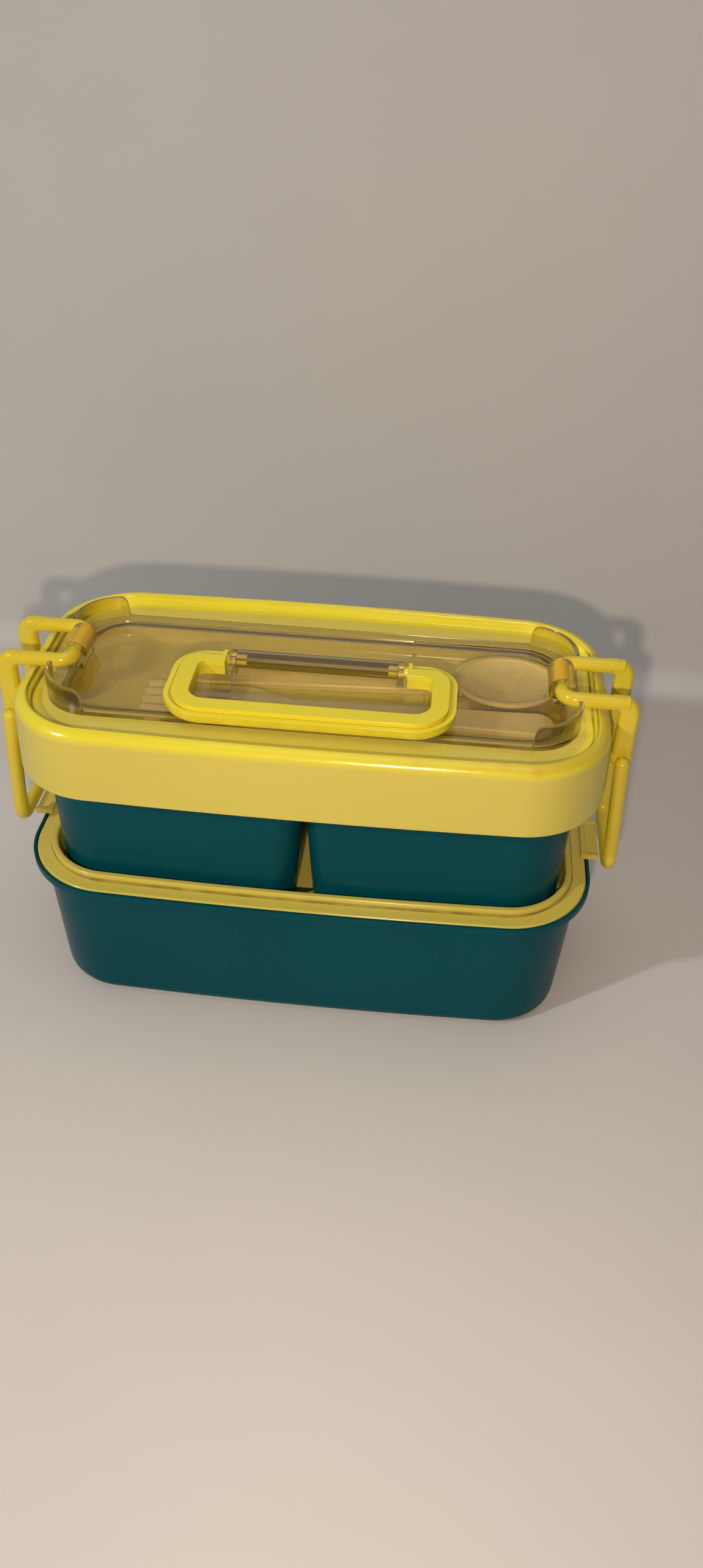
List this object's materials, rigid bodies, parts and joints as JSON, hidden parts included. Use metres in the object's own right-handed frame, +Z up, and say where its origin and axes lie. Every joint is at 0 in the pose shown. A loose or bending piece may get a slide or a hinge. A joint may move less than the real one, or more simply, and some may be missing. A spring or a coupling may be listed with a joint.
{
  "type": "bento lunch box",
  "caption": "Tiered plastic lunch box with a divided upper tray, a skirted lid with cutlery under a clear cover, a folding carry handle and bail-and-link side latches.",
  "frame": {"origin": "centre of the lower box's underside, on the table", "axes": "+X along the length, -Y to the front where the carry handle lies, +Z up"},
  "size_m": [0.202, 0.0948, 0.1205],
  "materials": {
    "yellow_plastic": "moulded, semi-gloss, yellow",
    "teal_plastic": "moulded, semi-gloss, dark teal",
    "clear_plastic": "clear moulded plastic, faint smoky tint",
    "silicone_seal": "soft white silicone",
    "cutlery_plastic": "moulded, satin, cream"
  },
  "bodies": {
    "lower_box": {"lower_box": "teal_plastic"},
    "mid_lid": {"mid_lid": "yellow_plastic", "mid_lid_gasket": "silicone_seal"},
    "upper_tray": {"upper_tray": "teal_plastic"},
    "top_lid": {"top_lid": "yellow_plastic", "top_lid_gasket": "silicone_seal"},
    "clear_cover": {"clear_cover": "clear_plastic"},
    "carry_handle": {"carry_handle": "yellow_plastic", "right_handle_pin": "yellow_plastic", "left_handle_pin": "yellow_plastic"},
    "right_bail": {"right_bail": "yellow_plastic"},
    "left_bail": {"left_bail": "yellow_plastic"},
    "right_link": {"right_link": "yellow_plastic"},
    "left_link": {"left_link": "yellow_plastic"},
    "spoon": {"spoon": "cutlery_plastic"},
    "fork": {"fork": "cutlery_plastic"}
  },
  "joints": [
    {"name": "mid_lid_lift", "type": "slide", "parent": "lower_box", "child": "mid_lid", "axis": [0, 0, 1], "range_m": [0, 0.06]},
    {"name": "tray_lift", "type": "slide", "parent": "mid_lid", "child": "upper_tray", "axis": [0, 0, 1], "range_m": [0, 0.06]},
    {"name": "top_lid_lift", "type": "slide", "parent": "upper_tray", "child": "top_lid", "axis": [0, 0, 1], "range_m": [0, 0.05]},
    {"name": "cover_lift", "type": "slide", "parent": "top_lid", "child": "clear_cover", "axis": [0, 0, 1], "range_m": [0, 0.06]},
    {"name": "spoon_lift", "type": "slide", "parent": "top_lid", "child": "spoon", "axis": [0, 0, 1], "range_m": [0, 0.03]},
    {"name": "fork_lift", "type": "slide", "parent": "top_lid", "child": "fork", "axis": [0, 0, 1], "range_m": [0, 0.03]},
    {"name": "handle_fold", "type": "hinge", "parent": "clear_cover", "child": "carry_handle", "pos_m": [0, 0.0014, 0.1138], "axis": [-1, 0, 0], "range_deg": [0, 90]},
    {"name": "right_bail_swing", "type": "hinge", "parent": "clear_cover", "child": "right_bail", "pos_m": [0.076, 0, 0.1163], "axis": [0, -1, 0], "range_deg": [0, 110]},
    {"name": "left_bail_swing", "type": "hinge", "parent": "clear_cover", "child": "left_bail", "pos_m": [-0.076, 0, 0.1163], "axis": [0, 1, 0], "range_deg": [0, 110]},
    {"name": "right_link_swing", "type": "hinge", "parent": "right_bail", "child": "right_link", "pos_m": [0.0965, 0, 0.0968], "axis": [0, -1, 0], "range_deg": [0, 110]},
    {"name": "left_link_swing", "type": "hinge", "parent": "left_bail", "child": "left_link", "pos_m": [-0.0965, 0, 0.0968], "axis": [0, 1, 0], "range_deg": [0, 110]}
  ],
  "couplings": [
    {"joint": "spoon_lift", "follows": "cover_lift", "ratio": 0.5},
    {"joint": "fork_lift", "follows": "cover_lift", "ratio": 0.5}
  ]
}
